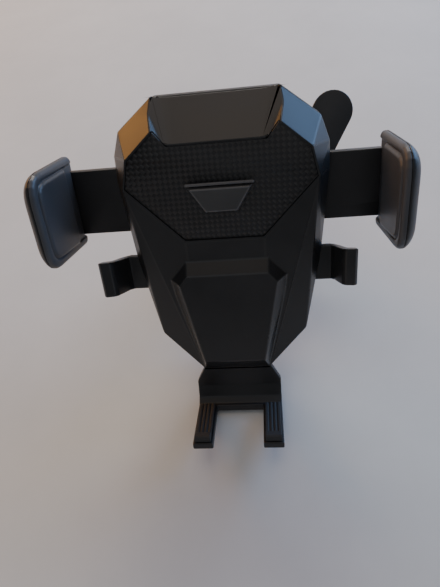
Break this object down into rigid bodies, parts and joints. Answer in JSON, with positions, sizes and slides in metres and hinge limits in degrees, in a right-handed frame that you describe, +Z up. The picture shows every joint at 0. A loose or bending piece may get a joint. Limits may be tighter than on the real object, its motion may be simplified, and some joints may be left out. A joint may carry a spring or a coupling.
{
  "type": "car phone mount",
  "caption": "Car phone cradle with rack-driven side arms, squeeze-release tabs, pull-out foot, ball joint and air-vent hook clip with swing-out support leg.",
  "frame": {"origin": "centre of the bounding box on the floor the mount stands on", "axes": "+X to the right of the cradle seen from its front, +Y from its front to its back, +Z up"},
  "size_m": [0.1048, 0.125, 0.093],
  "materials": {
    "satin_black": "satin moulded ABS",
    "texture_black": "fine spark-textured moulded ABS",
    "woven_black": "moulded carbon-fibre twill pattern",
    "badge_grey": "satin grey trim insert",
    "soft_grip": "smooth satin silicone",
    "rubber": "ribbed matt rubber",
    "acetal": "natural acetal",
    "steel": "bright zinc-plated steel"
  },
  "bodies": {
    "foot": {"foot_bracket": "texture_black", "foot_pad_left": "rubber", "foot_pad_right": "rubber"},
    "housing": {"front_shell": "satin_black", "back_shell": "texture_black", "carbon_plate": "woven_black", "badge": "badge_grey", "housing_screw_1": "steel", "housing_screw_2": "steel", "housing_screw_3": "steel", "housing_screw_4": "steel", "pinion_screw": "steel", "arm_spring": "steel", "release_spring_left": "steel", "release_spring_right": "steel", "foot_detent": "steel", "ball_socket": "texture_black"},
    "left_arm": {"arm_left": "texture_black", "jaw_shell_left": "satin_black", "jaw_pad_left": "soft_grip"},
    "right_arm": {"arm_right": "texture_black", "jaw_shell_right": "satin_black", "jaw_pad_right": "soft_grip"},
    "pinion": {"pinion": "acetal"},
    "left_release": {"release_tab_left": "satin_black"},
    "right_release": {"release_tab_right": "satin_black"},
    "lock_nut": {"lock_nut": "satin_black"},
    "ball": {"ball": "satin_black"},
    "clip": {"ball_stem": "texture_black", "clip_block": "texture_black", "grip_pad_left": "rubber", "grip_pad_right": "rubber", "leg_pin": "steel"},
    "knob": {"clip_knob": "satin_black"},
    "hook": {"hook": "steel", "hook_sleeve": "rubber"},
    "leg": {"support_leg": "satin_black", "leg_pad": "rubber"}
  },
  "joints": [
    {"name": "foot_extension", "type": "slide", "parent": "foot", "child": "housing", "axis": [0, 0.5, 0.866], "range_m": [0, 0.015]},
    {"name": "left_arm_slide", "type": "slide", "parent": "housing", "child": "left_arm", "axis": [1, 0, 0], "range_m": [0, 0.011]},
    {"name": "right_arm_slide", "type": "slide", "parent": "housing", "child": "right_arm", "axis": [-1, 0, 0], "range_m": [0, 0.011]},
    {"name": "pinion_spin", "type": "hinge", "parent": "housing", "child": "pinion", "pos_m": [0, 0.00468, 0.06491], "axis": [0, 0.866, -0.5], "range_deg": [0, 127]},
    {"name": "left_release_press", "type": "slide", "parent": "housing", "child": "left_release", "axis": [1, 0, 0], "range_m": [0, 0.003], "stiffness_N_per_m": 250, "springref_m": -0.002, "deforming": ["release_spring_left"]},
    {"name": "right_release_press", "type": "slide", "parent": "housing", "child": "right_release", "axis": [-1, 0, 0], "range_m": [0, 0.003], "stiffness_N_per_m": 250, "springref_m": -0.002, "deforming": ["release_spring_right"]},
    {"name": "lock_nut_turn", "type": "hinge", "parent": "housing", "child": "lock_nut", "pos_m": [0, 0.01405, 0.04276], "axis": [0, 0.866, -0.5], "range_deg": [0, 270]},
    {"name": "ball_spin", "type": "hinge", "parent": "housing", "child": "ball", "pos_m": [0, 0.01405, 0.04276], "axis": [0, 0.866, -0.5], "continuous": true},
    {"name": "clip_tilt", "type": "hinge", "parent": "ball", "child": "clip", "pos_m": [0, 0.01405, 0.04276], "axis": [1, 0, 0], "range_deg": [-13, 33]},
    {"name": "knob_turn", "type": "hinge", "parent": "clip", "child": "knob", "pos_m": [0, 0.01405, 0.04276], "axis": [0, 0.766, -0.6428], "range_deg": [0, 1080]},
    {"name": "hook_draw", "type": "slide", "parent": "clip", "child": "hook", "axis": [0, -0.766, 0.6428], "range_m": [0, 0.005]},
    {"name": "leg_swing", "type": "hinge", "parent": "clip", "child": "leg", "pos_m": [0.0189, 0.03102, 0.0233], "axis": [0, 0.766, -0.6428], "range_deg": [-55, 70]}
  ],
  "couplings": [
    {"joint": "right_arm_slide", "follows": "left_arm_slide", "ratio": 1},
    {"joint": "pinion_spin", "follows": "left_arm_slide", "rad_per_m": 200},
    {"joint": "knob_turn", "follows": "hook_draw", "rad_per_m": 3769}
  ]
}
